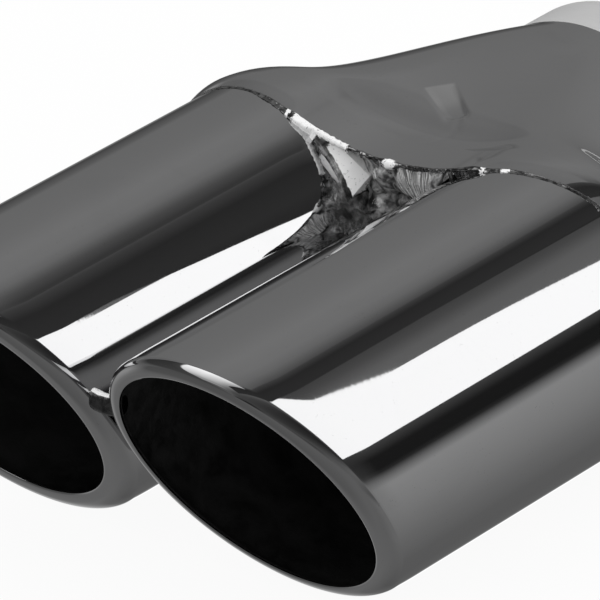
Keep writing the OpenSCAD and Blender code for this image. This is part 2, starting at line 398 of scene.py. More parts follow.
# buffing: fine lines along the pull, and a few longer scratches among them
buffing, wanted, given = startGroup(
    "buffingLines",
    [("Place", "Vector", (0, 0, 0)), ("Pull", "Vector", (25, 700, 25)), ("Scratch Share", "Float", 0.3)],
    [("Lines", "Float"), ("Scratches", "Float")])
pulled = vectorNode(buffing, "MULTIPLY", wanted["Place"], wanted["Pull"])
lines = noiseNode(buffing, pulled, 1.0, 4.0, 0.65)
buffing.links.new(lines, given["Lines"])
wide = noiseNode(buffing, vectorNode(buffing, "ADD", pulled, (31.0, 7.0, 13.0)), 0.55, 2.0, 0.5)
patch = noiseNode(buffing, wanted["Place"], 55.0, 2.0)
rare = mathNode(buffing, "MULTIPLY", rangeNode(buffing, wide, 0.66, 0.72),
                rangeNode(buffing, patch, 0.5, 0.62))
buffing.links.new(mathNode(buffing, "MULTIPLY", rare, wanted["Scratch Share"]), given["Scratches"])

# smears: thin clouds of polish residue and dust
smears, wanted, given = startGroup(
    "polishSmears",
    [("Place", "Vector", (0, 0, 0)), ("Size", "Float", 40.0), ("Cover", "Float", 0.5)],
    [("Smear", "Float"), ("Specks", "Float")])
cloud = noiseNode(smears, wanted["Place"], wanted["Size"], 5.0, 0.6, 0.8)
edge = mathNode(smears, "SUBTRACT", 0.78, mathNode(smears, "MULTIPLY", wanted["Cover"], 0.4))
smears.links.new(mathNode(smears, "MULTIPLY", rangeNode(smears, mathNode(smears, "SUBTRACT", cloud, edge),
                                                        -0.05, 0.22, kind="SMOOTHSTEP"), wanted["Cover"]),
                 given["Smear"])
grains = smears.nodes.new("ShaderNodeTexVoronoi")
smears.links.new(wanted["Place"], grains.inputs["Vector"])
grains.inputs["Scale"].default_value = 1300.0
few = rangeNode(smears, noiseNode(smears, wanted["Place"], 330.0, 1.0), 0.6, 0.66)
smears.links.new(mathNode(smears, "MULTIPLY", rangeNode(smears, grains.outputs["Distance"], 0.18, 0.08), few),
                 given["Specks"])

# weld grain: mottled metal with pits, scale and ripples
weldGrain, wanted, given = startGroup(
    "weldGrain",
    [("Place", "Vector", (0, 0, 0)), ("Size", "Float", 500.0), ("Contrast", "Float", 0.6)],
    [("Shade", "Float"), ("Pits", "Float"), ("Relief", "Float")])
coarse = noiseNode(weldGrain, wanted["Place"], wanted["Size"], 4.0, 0.6, 0.6)
fine = noiseNode(weldGrain, wanted["Place"], mathNode(weldGrain, "MULTIPLY", wanted["Size"], 4.0), 2.0)
spread = rangeNode(weldGrain, coarse, 0.36, 0.66, kind="SMOOTHSTEP")
low = mathNode(weldGrain, "SUBTRACT", 1.0, wanted["Contrast"])
weldGrain.links.new(mathNode(weldGrain, "ADD", low, mathNode(weldGrain, "MULTIPLY", spread, wanted["Contrast"])),
                    given["Shade"])
weldGrain.links.new(rangeNode(weldGrain, fine, 0.36, 0.28), given["Pits"])
weldGrain.links.new(mathNode(weldGrain, "ADD", coarse, mathNode(weldGrain, "MULTIPLY", fine, 0.25)),
                    given["Relief"])

# fan of grinder scratches round one point, in the X Z plane
grinding, wanted, given = startGroup(
    "grindingFan",
    [("Place", "Vector", (0, 0, 0)), ("Centre", "Vector", (0.012, 0, 0.014)), ("Fineness", "Float", 60.0)],
    [("Lines", "Float")])
offset = vectorNode(grinding, "SUBTRACT", wanted["Place"], wanted["Centre"])
split = grinding.nodes.new("ShaderNodeSeparateXYZ")
grinding.links.new(offset, split.inputs[0])
bearing = mathNode(grinding, "ARCTAN2", split.outputs["Z"], split.outputs["X"])
reach = mathNode(grinding, "SQRT", mathNode(grinding, "ADD",
                                            mathNode(grinding, "MULTIPLY", split.outputs["X"], split.outputs["X"]),
                                            mathNode(grinding, "MULTIPLY", split.outputs["Z"], split.outputs["Z"])))
fan = grinding.nodes.new("ShaderNodeCombineXYZ")
grinding.links.new(mathNode(grinding, "MULTIPLY", bearing, wanted["Fineness"]), fan.inputs[0])
grinding.links.new(mathNode(grinding, "MULTIPLY", reach, 90.0), fan.inputs[1])
grinding.links.new(noiseNode(grinding, fan.outputs[0], 1.0, 3.0, 0.6), given["Lines"])

# haze: a painted mask, broken up by noise
hazing, wanted, given = startGroup(
    "tornHaze",
    [("Mask", "Float", 0.0), ("Place", "Vector", (0, 0, 0)), ("Size", "Float", 300.0)],
    [("Haze", "Float")])
ragged = mathNode(hazing, "MULTIPLY", mathNode(hazing, "SUBTRACT",
                                               noiseNode(hazing, wanted["Place"], wanted["Size"], 5.0, 0.65, 1.2),
                                               0.5), 1.6)
torn = rangeNode(hazing, mathNode(hazing, "ADD", wanted["Mask"], ragged), 0.42, 0.62, kind="SMOOTHSTEP")
onPaint = rangeNode(hazing, wanted["Mask"], 0.02, 0.12)
hazing.links.new(mathNode(hazing, "MULTIPLY", torn, onPaint), given["Haze"])


# finishes

def newMaterial(name, metallic):
    material = bpy.data.materials.new(name)
    material.use_nodes = True
    tree = material.node_tree
    shader = tree.nodes["Principled BSDF"]
    shader.inputs["Metallic"].default_value = metallic
    place = tree.nodes.new("ShaderNodeTexCoord").outputs["Object"]
    return material, tree, shader, place


def placeGroup(tree, group, place, **values):
    made = tree.nodes.new("ShaderNodeGroup")
    made.node_tree = group
    if place is not None:
        tree.links.new(place, made.inputs["Place"])
    for label, value in values.items():
        made.inputs[label.replace("_", " ")].default_value = value
    return made


def grey(level, tint=1.0):
    return (level, level, level * tint, 1)


def sumOf(tree, base, *terms):
    # base plus each mask times its weight
    total = None
    for mask, weight in terms:
        part = mathNode(tree, "MULTIPLY", mask, weight)
        total = part if total is None else mathNode(tree, "ADD", total, part)
    return mathNode(tree, "ADD", total, base)


def bumpNode(tree, shader, height, distance, strength=1.0):
    bump = tree.nodes.new("ShaderNodeBump")
    bump.inputs["Distance"].default_value = distance
    bump.inputs["Strength"].default_value = strength
    tree.links.new(height, bump.inputs["Height"])
    tree.links.new(bump.outputs[0], shader.inputs["Normal"])


def polishedMetal(name, colour, roughness, pull, relief, smearSize):
    material, tree, shader, place = newMaterial(name, 1.0)
    buff = placeGroup(tree, buffing, place, Pull=pull, Scratch_Share=0.2)
    smear = placeGroup(tree, smears, place, Size=smearSize, Cover=0.55)
    painted = tree.nodes.new("ShaderNodeAttribute")
    painted.attribute_name = "haze"
    haze = placeGroup(tree, hazing, place, Size=420.0)
    tree.links.new(painted.outputs["Fac"], haze.inputs["Mask"])
    grain = placeGroup(tree, weldGrain, place, Size=330.0, Contrast=0.75)
    shade = mixColour(tree, smear.outputs["Smear"], grey(colour, 1.008), grey(colour * 0.93, 1.008))
    shade = mixColour(tree, smear.outputs["Specks"], shade, grey(colour * 0.7))
    cloudy = mixColour(tree, grain.outputs["Shade"], grey(0.1), grey(0.62))
    shade = mixColour(tree, haze.outputs["Haze"], shade, cloudy)
    # painted sheen: the dent's facet gets a lighter grey, standing in for the brighter light it reflects
    paintedSheen = tree.nodes.new("ShaderNodeAttribute")
    paintedSheen.attribute_name = "paintedSheen"
    shade = mixColour(tree, paintedSheen.outputs["Fac"], shade, grey(0.82))
    tree.links.new(shade, shader.inputs["Base Color"])
    rough = sumOf(tree, roughness, (buff.outputs["Lines"], 0.016), (buff.outputs["Scratches"], 0.12),
                  (smear.outputs["Smear"], 0.03), (haze.outputs["Haze"], 0.22))
    tree.links.new(rough, shader.inputs["Roughness"])
    height = sumOf(tree, 0.0, (buff.outputs["Lines"], 1.0), (buff.outputs["Scratches"], -2.0))
    rise = mathNode(tree, "MULTIPLY", mathNode(tree, "MULTIPLY", grain.outputs["Relief"], haze.outputs["Haze"]), 60.0)
    bumpNode(tree, shader, mathNode(tree, "ADD", height, rise), relief)
    return material


polishedTube = polishedMetal("polishedTube", 0.62, 0.02, (18, 620, 18), 0.0000016, 34.0)
polishedShell = polishedMetal("polishedShell", 0.62, 0.04, (260, 40, 90), 0.0000020, 46.0)

# a near-black finish for the inside of the bores and of the shell
darkInside, tree, shader, place = newMaterial("darkInside", 0.0)
grain = placeGroup(tree, weldGrain, place, Size=260.0, Contrast=0.8)
smear = placeGroup(tree, smears, place, Size=60.0, Cover=0.9)
shade = mixColour(tree, grain.outputs["Shade"], grey(0.004), grey(0.014))
tree.links.new(mixColour(tree, smear.outputs["Smear"], shade, grey(0.02)), shader.inputs["Base Color"])
tree.links.new(sumOf(tree, 0.6, (grain.outputs["Shade"], 0.25)), shader.inputs["Roughness"])
shader.inputs["Specular IOR Level"].default_value = 0.15
bumpNode(tree, shader, grain.outputs["Relief"], 0.0002)


# painted highlight mask: the painted attribute, its edges torn by noise
def highlightMask(tree, place, size):
    painted = tree.nodes.new("ShaderNodeAttribute")
    painted.attribute_name = "bright"
    torn = placeGroup(tree, hazing, place, Size=size)
    tree.links.new(painted.outputs["Fac"], torn.inputs["Mask"])
    return torn.outputs["Haze"]


def weldMetal(name, bright, dark, size, contrast, roughness, relief):
    material, tree, shader, place = newMaterial(name, 1.0)
    grain = placeGroup(tree, weldGrain, place, Size=size, Contrast=contrast)
    highlight = highlightMask(tree, place, 700.0)
    shade = mixColour(tree, grain.outputs["Shade"], grey(dark), grey(bright))
    # painted highlight: white base colour, and less metal below, so these spots light up
    shade = mixColour(tree, highlight, shade, grey(1.0))
    shade = mixColour(tree, mathNode(tree, "MULTIPLY", grain.outputs["Pits"], 0.6), shade, grey(0.06))
    tree.links.new(shade, shader.inputs["Base Color"])
    tree.links.new(sumOf(tree, 1.0, (highlight, -1.0)), shader.inputs["Metallic"])
    tree.links.new(sumOf(tree, roughness, (grain.outputs["Shade"], -0.06), (grain.outputs["Pits"], 0.3)),
                   shader.inputs["Roughness"])
    bumpNode(tree, shader, grain.outputs["Relief"], relief)
    return material


weldBead = weldMetal("weldBead", 0.5, 0.06, 420.0, 0.9, 0.2, 0.0001)
# painted shade: a darker weld metal for the tack, standing in for the dark its front reflects
weldShaded = weldMetal("weldShaded", 0.2, 0.04, 380.0, 0.8, 0.26, 0.0001)

weldBrushed, tree, shader, place = newMaterial("weldBrushed", 1.0)
grain = placeGroup(tree, weldGrain, place, Size=300.0, Contrast=1.0)
fan = placeGroup(tree, grinding, place, Fineness=38.0, Centre=(0.0125, 0.0, 0.0180))
parts = tree.nodes.new("ShaderNodeSeparateXYZ")
tree.links.new(place, parts.inputs[0])
lines = mathNode(tree, "MAXIMUM", rangeNode(tree, fan.outputs["Lines"], 0.42, 0.6),
                 rangeNode(tree, parts.outputs["X"], 0.003, 0.001))
# painted highlight on the filler, combed by the grinding fan
highlight = highlightMask(tree, place, 350.0)
mottled = mixColour(tree, grain.outputs["Shade"], grey(0.05), grey(0.75))
combed = mixColour(tree, lines, grey(0.16), grey(1.0))
shade = mixColour(tree, highlight, mottled, combed)
tree.links.new(mixColour(tree, grain.outputs["Pits"], shade, grey(0.05)), shader.inputs["Base Color"])
tree.links.new(sumOf(tree, 0.7, (highlight, -0.4), (grain.outputs["Shade"], -0.25)), shader.inputs["Metallic"])
tree.links.new(sumOf(tree, 0.36, (grain.outputs["Shade"], -0.12), (lines, 0.08)), shader.inputs["Roughness"])
height = mathNode(tree, "ADD", grain.outputs["Relief"],
                  mathNode(tree, "MULTIPLY", mathNode(tree, "MULTIPLY", lines, highlight), 0.6))
bumpNode(tree, shader, height, 0.00025)

satinCollar, tree, shader, place = newMaterial("satinCollar", 0.3)
buff = placeGroup(tree, buffing, place, Pull=(90, 1900, 90), Scratch_Share=0.6)
smear = placeGroup(tree, smears, place, Size=70.0, Cover=0.5)
shade = mixColour(tree, buff.outputs["Lines"], grey(0.66), grey(0.76))
shade = mixColour(tree, smear.outputs["Smear"], shade, grey(0.62))
tree.links.new(mixColour(tree, smear.outputs["Specks"], shade, grey(0.5)), shader.inputs["Base Color"])
tree.links.new(sumOf(tree, 0.36, (buff.outputs["Lines"], 0.16), (smear.outputs["Smear"], 0.1),
                     (buff.outputs["Scratches"], -0.1)), shader.inputs["Roughness"])
bumpNode(tree, shader, sumOf(tree, 0.0, (buff.outputs["Lines"], 1.0), (buff.outputs["Scratches"], -1.0)), 0.00003)
print("finishes made")


# outlet tubes: one ring of edges at the slashed mouth, drawn along and inwards

tubes = dict(outer=0.038, wall=0.0015, gap=0.0018, mouth=-0.1986, rear=-0.0834,
             slash=31.2, lipLeft=0.0069, lipRight=0.0049, bend=0.0041, roll=0.0050, easeLength=0.008, easeDepth=0.00016,
             segments=192,
             drawnLength=0.011, drawnDepth=0.0008)
shellFront = dict(edge=-0.0958, sweep=12, web=0.0253)


def lipProfile(lip):
    # radius and distance behind the mouth's plane, from the bend round to the bore
    outer, wall, bend, roll = tubes["outer"], tubes["wall"], tubes["bend"], tubes["roll"]
    path = []
    for step in range(19):
        a = math.pi / 2 * step / 18
        path.append((outer - bend + bend * math.cos(a), roll - roll * math.sin(a)))
    hole = outer - lip
    if hole + wall < outer - bend:
        path.append((hole + wall * 0.9, 0))
    for step in range(9):
        a = math.pi * step / 8
        path.append((hole + wall / 2 - wall / 2 * math.sin(a), wall / 2 - wall / 2 * math.cos(a)))
    for step in range(9):
        a = math.pi / 2 * step / 8
        path.append((outer - bend + (bend - wall) * math.sin(a), roll - (roll - wall) * math.cos(a)))
    return path


def makeTube(name, side, lip):
    slant = math.radians(tubes["slash"])
    centre = side * (tubes["outer"] + tubes["gap"] / 2)
    path = lipProfile(lip)
    clearSelection()
    bpy.ops.mesh.primitive_circle_add(vertices=tubes["segments"], radius=path[0][0],
                                      location=(centre, tubes["mouth"] + path[0][1], 0),
                                      rotation=(math.pi / 2, 0, 0))
    tube = bpy.context.object
    tube.name = name
    settle(tube)
    bpy.ops.object.mode_set(mode="EDIT")
    bpy.ops.mesh.select_all(action="SELECT")
    at = (centre, tubes["mouth"] + path[0][1], 0)
    bpy.ops.transform.resize(value=(1, 1, 1 / math.cos(slant)), center_override=at)
    bpy.ops.transform.rotate(value=-slant, orient_axis="X", center_override=at)
    here = path[0]
    for radius, back in path[1:]:
        bpy.ops.mesh.extrude_edges_move(TRANSFORM_OT_translate={"value": (0, back - here[1], 0)})
        k = radius / here[0]
        bpy.ops.transform.resize(value=(k, k, k), center_override=(centre, tubes["mouth"] + back, 0))
        here = (radius, back)
    for share in (0.02, 0.3, 0.6, 0.97):
        y = tubes["mouth"] + here[1]
        goal = tubes["mouth"] + tubes["roll"] + share * (tubes["rear"] - tubes["mouth"] - tubes["roll"])
        bpy.ops.mesh.extrude_edges_move(TRANSFORM_OT_translate={"value": (0, goal - y, 0)})
        if share == 0.6:
            bpy.ops.transform.resize(value=(1, 0, 1), center_override=(centre, goal, 0))
        here = (here[0], goal - tubes["mouth"])
    y = tubes["mouth"] + here[1]
    bpy.ops.mesh.extrude_edges_move(TRANSFORM_OT_translate={"value": (0, tubes["rear"] - y, 0)})
    bpy.ops.mesh.extrude_edges_move(TRANSFORM_OT_translate={"value": (0, 0, 0)})
    k = tubes["outer"] / here[0]
    bpy.ops.transform.resize(value=(k, 1, k), center_override=(centre, tubes["rear"], 0))
    bpy.ops.object.mode_set(mode="OBJECT")
    return tube, centre


def closeTube(tube, cuts):
    clearSelection()
    tube.select_set(True)
    bpy.context.view_layer.objects.active = tube
    bpy.ops.object.mode_set(mode="EDIT")
    bpy.ops.mesh.select_all(action="DESELECT")
    bpy.ops.mesh.select_mode(type="EDGE")
    bpy.ops.mesh.select_non_manifold(extend=False, use_wire=False, use_multi_face=False,
                                     use_non_contiguous=False, use_verts=False)
    bpy.ops.mesh.bridge_edge_loops(number_cuts=cuts, interpolation="LINEAR")
    bpy.ops.object.mode_set(mode="OBJECT")


def shellEdge(x):
    return shellFront["edge"] + math.tan(math.radians(shellFront["sweep"])) * max(abs(x) - shellFront["web"], 0)


def drawnShare(x, z, centre):
    # 1 on the side that faces the other tube, 0 past the top
    inner = math.degrees(math.atan2(abs(z), (centre - x) * math.copysign(1, centre)))
    return max(0, min(1, (84 - inner) / 28))


def drawInByWeld(tube, centre):
    # the wall eases in towards the lip, and the heat of the weld has drawn it in a little
    # just in front of the shell
    slant = math.tan(math.radians(tubes["slash"]))
    for vertex in tube.data.vertices:
        x, y, z = vertex.co
        radius = math.hypot(x - centre, z)
        behind = y + slant * z - tubes["mouth"] - tubes["roll"]
        if radius < tubes["outer"] - 0.0048:
            continue
        share = max(0, min(1, 1 - (shellEdge(x) - y) / tubes["drawnLength"]))
        share *= drawnShare(x, z, centre)
        lip = max(0, min(1, 1 - behind / tubes["easeLength"]))
        k = 1 - (tubes["drawnDepth"] * share ** 2 + tubes["easeDepth"] * lip ** 2) / radius
        vertex.co = (centre + (x - centre) * k, y, z * k)


# the bore's inner faces get the near-black finish
def darkenTheBore(tube, centre):
    tube.data.materials.append(polishedTube)
    tube.data.materials.append(darkInside)
    slant = math.tan(math.radians(tubes["slash"]))
    for face in tube.data.polygons:
        x, y, z = face.center
        radius = math.hypot(x - centre, z)
        outwards = (face.normal.x * (x - centre) + face.normal.z * z) / radius
        back = y + slant * z - tubes["mouth"]
        if (outwards < 0.1 and face.normal.y > -0.2 and back > tubes["wall"] * 0.55
                and radius < tubes["outer"] - tubes["wall"] * 0.6):
            face.material_index = 1


def paintHaze(piece, level):
    # a mask for the finish: level(x, y, z) is 1 where the welding has clouded the metal
    mask = piece.data.attributes.new("haze", "FLOAT", "POINT")
    mask.data.foreach_set("value", [level(*vertex.co) for vertex in piece.data.vertices])


def tubeHaze(x, y, z):
    ahead = shellEdge(x) - y
    height = abs(z)
    inner = max(0, 1 - abs(abs(z) - 0.0195) / 0.0075) * max(0, 1 - ahead / 0.017) * (1.6 if abs(x) < 0.016 else 0)
    rim = 0.42 * max(0, 1 - ahead / 0.0022)
    return max(0, min(1, max(inner if x < 0 else 0.55 * inner, rim)))


for name, node, side, lip in (("leftTube", "outlet_tube_left", -1, tubes["lipLeft"]),
                              ("rightTube", "outlet_tube_right", 1, tubes["lipRight"])):
    tube, centre = makeTube(name, side, lip)
    closeTube(tube, 64)
    fixNormals(tube)
    drawInByWeld(tube, centre)
    darkenTheBore(tube, centre)
    paintHaze(tube, tubeHaze)
    smooth(tube, 40)
    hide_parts(node)
    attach(tube, "root")
print("tubes made")


# shell: a grid laid round the two sockets and drawn together to the round neck

shell = dict(edge=-0.0958, taperStart=-0.0834, taperEnd=-0.017, neckEnd=-0.0162,
             socketRadius=0.0395, neckRadius=0.0383, spread=0.0389, wall=0.0012,
             edgeSweep=12, sideLine=[(0, 1), (0.25, 1), (0, 0.5), (0.55, 0.6), (1, 0)],
             waist=0.026, webSpread=0.65, webRound=0.2,
             lobeSteps=36, webSteps=92, socketRows=18, taperRows=104,
             rampLength=0.0060, rampDrop=0.0012,
             hollowDepth=0.00008, hollowWidth=0.013, hollowLength=0.016, hollowBack=0.028)
dent = dict(start=(-0.00885, -0.06225), end=(0.0014, -0.0695), startHalf=0.0040,
            endHalf=0.0029, depth=0.0013, rim=0.0008, softRim=0.0034, fall=0.0046)
creases = [dict(path=[(0.0032, -0.0700), (0.0066, -0.0712), (0.0100, -0.0716)], depth=0.00022, half=0.0007),
           dict(path=[(0.0040, -0.0712), (0.0058, -0.0750), (0.0045, -0.0795), (0.0010, -0.0860)],
                depth=0.00025, half=0.0010)]


def sidePoint(t):
    weights = ((1 - t) ** 4, 4 * (1 - t) ** 3 * t, 6 * (1 - t) ** 2 * t * t,
               4 * (1 - t) * t ** 3, t ** 4)
    return [sum(w * p[k] for w, p in zip(weights, shell["sideLine"])) for k in (0, 1)]


def stationAt(t):
    p = sidePoint(t)
    c = shell["spread"] * p[1]
    r = (shell["socketRadius"] + (shell["neckRadius"] - shell["socketRadius"]) * p[0]
         - shell["waist"] * tubes["outer"] * math.sin(math.pi * p[0]))
    y = shell["taperStart"] + (shell["taperEnd"] - shell["taperStart"]) * p[0]
    return y, c, r, shell["webSpread"] * c + shell["webRound"] * r * (1 - p[1])


def ringPoint(station, column):
    # column counts from the right-hand side over the top to the left-hand side
    y, c, r, web = station
    end = math.acos(max(-1, min(1, (web - c) / r)))
    lobe, across = shell["lobeSteps"], shell["webSteps"]
    if column <= lobe:
        a = end * column / lobe
        return c + r * math.cos(a), r * math.sin(a)
    if column >= lobe + across:
        a = end * (2 * lobe + across - column) / lobe
        return -c - r * math.cos(a), r * math.sin(a)
    f = (column - lobe) / across
    ex, ez = c + r * math.cos(end), r * math.sin(end)
    h = 2 / 3 * web / math.cos((math.pi / 2 - end) / 2) ** 2
    qx, qz = ex - h * math.sin(end), ez + h * math.cos(end)
    return (ex * ((1 - f) ** 3 - f ** 3) + 3 * (1 - f) * f * (1 - 2 * f) * qx,
            ez * ((1 - f) ** 3 + f ** 3) + 3 * (1 - f) * f * qz)


def ease(value):
    value = max(0, min(1, value))
    return value * value * (3 - 2 * value)


def dentAt(x, y):
    # a broad shallow hollow, and in it a facet that drops to a sharp corner
    away = ((x / shell["hollowWidth"]) ** 2
            + ((y - shell["edge"] - shell["hollowBack"]) / shell["hollowLength"]) ** 2)
    depth = shell["hollowDepth"] * math.exp(-away)
    dx, dy = dent["end"][0] - dent["start"][0], dent["end"][1] - dent["start"][1]
    length = math.hypot(dx, dy)
    dx, dy = dx / length, dy / length
    px, py = x - dent["start"][0], y - dent["start"][1]
    u = (px * dx + py * dy) / length
    across = px * dy - py * dx
    rim = dent["softRim"] if across > 0 else dent["rim"]
    half = dent["startHalf"] + (dent["endHalf"] - dent["startHalf"]) * max(0, min(1, u))
    if -0.1 < u < 1.6:
        side = ease((half + 0.5 * (rim - dent["rim"]) - abs(across)) / rim)
        facet = dent["depth"] * max(0, u)
        if u > 1:
            facet = dent["depth"] * (1 - ease((u - 1) * length / dent["fall"]))
        depth += facet * side * ease((u + 0.05) / 0.1)
    return depth


def facetAt(x, y):
    # 1 on the flat facet of the dent, with crisp edges; there a painted sheen lifts the shell's colour
    dx, dy = dent["end"][0] - dent["start"][0], dent["end"][1] - dent["start"][1]
    length = math.hypot(dx, dy)
    px, py = x - dent["start"][0], y - dent["start"][1]
    u = (px * dx + py * dy) / length ** 2
    across = abs(px * dy - py * dx) / length
    half = dent["startHalf"] + (dent["endHalf"] - dent["startHalf"]) * max(0, min(1, u))
    return ease((half - across) / 0.0006) * ease((u + 0.04) / 0.05) * ease((0.95 - u) / 0.5)


def creaseAt(x, y):
    depth = 0
    for crease in creases:
        path = crease["path"]
        for spot in range(len(path) - 1):
            (ax, ay), (bx, by) = path[spot], path[spot + 1]
            lx, ly = bx - ax, by - ay
            t = max(0, min(1, ((x - ax) * lx + (y - ay) * ly) / (lx * lx + ly * ly)))
            away = math.hypot(x - ax - t * lx, y - ay - t * ly)
            whole = (spot + t) / (len(path) - 1)
            depth = max(depth, crease["depth"] * (1 - whole) * math.exp(-(away / crease["half"]) ** 2))
    return depth


halfColumns = 2 * shell["lobeSteps"] + shell["webSteps"]
columns = 2 * halfColumns
rows = shell["socketRows"] + shell["taperRows"] + 1
clearSelection()
bpy.ops.mesh.primitive_grid_add(x_subdivisions=columns, y_subdivisions=rows, size=1)
shellPiece = bpy.context.object
shellPiece.name = "shell"
sweep = math.tan(math.radians(shell["edgeSweep"]))
stations = [stationAt(0)] * shell["socketRows"]
stations += [stationAt(i / shell["taperRows"]) for i in range(shell["taperRows"] + 1)]
stations.append((shell["neckEnd"], 0.0, shell["neckRadius"], stations[-1][3]))
for vertex in shellPiece.data.vertices:
    column = round((vertex.co.x + 0.5) * columns)
    row = round((vertex.co.y + 0.5) * rows)
    station = stations[row]
    upper = column <= halfColumns
    x, z = ringPoint(station, column if upper else columns - column)
    y = station[0]
    if row < shell["socketRows"]:
        front = shell["edge"] + sweep * max(abs(x) - station[3], 0)
        y = front + (y - front) * row / shell["socketRows"]
    front = shell["edge"] + sweep * max(abs(x) - station[3], 0)
    outer = ease((abs(x) - station[3]) / 0.006)
    drop = shell["rampDrop"] * outer * max(0, 1 - (y - front) / shell["rampLength"]) ** 2
    centre = math.copysign(station[1], x)
    reach = math.hypot(x - centre, z)
    x, z = centre + (x - centre) * (reach - drop) / reach, z * (reach - drop) / reach
    if upper:
        z -= dentAt(x, y) + creaseAt(x, y)
    else:
        z = -z
    vertex.co = (x, y, z)
fixNormals(shellPiece, 1e-6)
shellPiece.data.materials.append(polishedShell)
shellPiece.data.materials.append(darkInside)
thicken = shellPiece.modifiers.new("sheet", "SOLIDIFY")
thicken.thickness = shell["wall"]
thicken.offset = -1
thicken.use_even_offset = True
thicken.material_offset = 1
bpy.context.view_layer.objects.active = shellPiece
bpy.ops.object.modifier_apply(modifier=thicken.name)
paintHaze(shellPiece, lambda x, y, z: (1.0 if abs(x) > 0.0285 and y - shellEdge(x) < 0.0003
                                       else 0.4 * max(0, 1 - (y - shellEdge(x)) / 0.0012)))
# painted sheen mask on the dent's facet, upper half only
paintedSheenLayer = shellPiece.data.attributes.new("paintedSheen", "FLOAT", "POINT")
paintedSheenLayer.data.foreach_set("value", [facetAt(v.co.x, v.co.y) if v.co.z > 0.02 else 0.0
                                     for v in shellPiece.data.vertices])
smooth(shellPiece, 40)
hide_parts("upper_shell", "lower_shell", "side_weld_left", "side_weld_right", "collar_weld")
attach(shellPiece, "root")
print("shell made", len(shellPiece.data.polygons), "faces")


# collar: a ring drawn back and closed over its own bore

collar = dict(outer=0.038, bore=0.0365, front=-0.0162, rear=0.0, round=0.0003, segments=192)
path = []
for cx, cy, start in ((collar["outer"] - collar["round"], collar["rear"] - collar["round"], 0),
                      (collar["bore"] + collar["round"], collar["rear"] - collar["round"], 90)):
    for step in range(5):
        a = math.radians(start + 90 * step / 4)
        path.append((cx + collar["round"] * math.cos(a), cy + collar["round"] * math.sin(a)))
path.append((collar["bore"], collar["front"]))
clearSelection()
bpy.ops.mesh.primitive_circle_add(vertices=collar["segments"], radius=collar["outer"],
                                  location=(0, collar["front"], 0), rotation=(math.pi / 2, 0, 0))
collarPiece = bpy.context.object
collarPiece.name = "collar"
settle(collarPiece)
bpy.ops.object.mode_set(mode="EDIT")
bpy.ops.mesh.select_all(action="SELECT")
here = (collar["outer"], collar["front"])
for radius, y in path:
    bpy.ops.mesh.extrude_edges_move(TRANSFORM_OT_translate={"value": (0, y - here[1], 0)})
    k = radius / here[0]
    bpy.ops.transform.resize(value=(k, 1, k), center_override=(0, y, 0))
    here = (radius, y)
bpy.ops.object.mode_set(mode="OBJECT")
closeTube(collarPiece, 6)
fixNormals(collarPiece)
collarPiece.data.materials.append(satinCollar)
smooth(collarPiece, 40)
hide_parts("inlet_collar")
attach(collarPiece, "root")
print("collar made")


# welds: each is laid along its joint as a closed strip of rings, then roughened

def paintHighlight(piece, level):
    # a mask for the finish: 1 where a painted highlight makes the weld metal white
    mask = piece.data.attributes.new("bright", "FLOAT", "POINT")
    mask.data.foreach_set("value", [level(*vertex.co) for vertex in piece.data.vertices])


# painted highlights on the filler: a combed patch and two smaller spots
def fillerHighlight(x, y, z):
    z = abs(z)
    comb = ease((x - 0.003) / 0.003) * ease((0.0160 - x) / 0.003) * ease((z - 0.0235) / 0.003)
    patch = 0.55 * math.exp(-((x + 0.0035) / 0.002) ** 2 - ((z - 0.0275) / 0.0025) ** 2)
    leg = 0.5 * math.exp(-((x + 0.0045) / 0.002) ** 2 - ((z - 0.0190) / 0.002) ** 2)
    return max(comb, patch, leg)


# painted highlights on the bead: a ribbon on the left and a few glints, a little everywhere
def beadHighlight(x, y, z):
    if z < 0:
        return 0.25
    ribbon = ease((-x - 0.0098) / 0.0015) * ease((0.0285 + x) / 0.0035)
    blobs = max(math.exp(-((x + 0.0289) / 0.0007) ** 2), 0.9 * math.exp(-((x - 0.0022) / 0.0020) ** 2),
                0.6 * math.exp(-((x - 0.0290) / 0.0012) ** 2), 0.7 * math.exp(-((x - 0.0345) / 0.0020) ** 2))
    return max(ribbon, blobs, 0.12)


bead = dict(lengthStep=0.00035, profile=15, under=0.0007, grain=0.00004, lump=0.00015,
            webEnd=0.0188)


def layStrip(name, rings, material):
    # closes a list of equal rings of points into one solid
    count, around = len(rings), len(rings[0])
    clearSelection()
    bpy.ops.mesh.primitive_grid_add(x_subdivisions=count - 1, y_subdivisions=around, size=1)
    strip = bpy.context.object
    strip.name = name
    for vertex in strip.data.vertices:
        column = round((vertex.co.x + 0.5) * (count - 1))
        row = round((vertex.co.y + 0.5) * around) % around
        vertex.co = rings[column][row]
    fixNormals(strip, 1e-7)
    for cap in (rings[0], rings[-1]):
        bpy.ops.object.mode_set(mode="EDIT")
        bpy.ops.mesh.select_mode(type="VERT")
        bpy.ops.mesh.select_all(action="DESELECT")
        bpy.ops.object.mode_set(mode="OBJECT")
        for vertex in strip.data.vertices:
            vertex.select = min((vertex.co - corner).length_squared for corner in cap) < 1e-13
        bpy.ops.object.mode_set(mode="EDIT")
        bpy.ops.mesh.edge_face_add()
        bpy.ops.mesh.quads_convert_to_tris()
        bpy.ops.object.mode_set(mode="OBJECT")
    bpy.ops.object.mode_set(mode="EDIT")
    bpy.ops.mesh.select_all(action="SELECT")
    bpy.ops.mesh.normals_make_consistent(inside=False)
    bpy.ops.object.mode_set(mode="OBJECT")
    strip.data.materials.append(material)
    return strip


def rough(place, scale, seed):
    return noise.noise(Vector(place) * scale + Vector((seed, 2 * seed, -seed)))


def weldWidth(side, angle, upper):
    # how far the bead reaches out on to the tube; angle is 0 at the tube's outer side
    if side < 0 and upper:
        return 0.0004 + 0.0008 * ease((angle - 83) / 12)
    if upper:
        return 0.0005 + 0.0003 * ease((angle - 70) / 20)
    return 0.0009 + 0.0009 * ease((angle - 70) / 25)


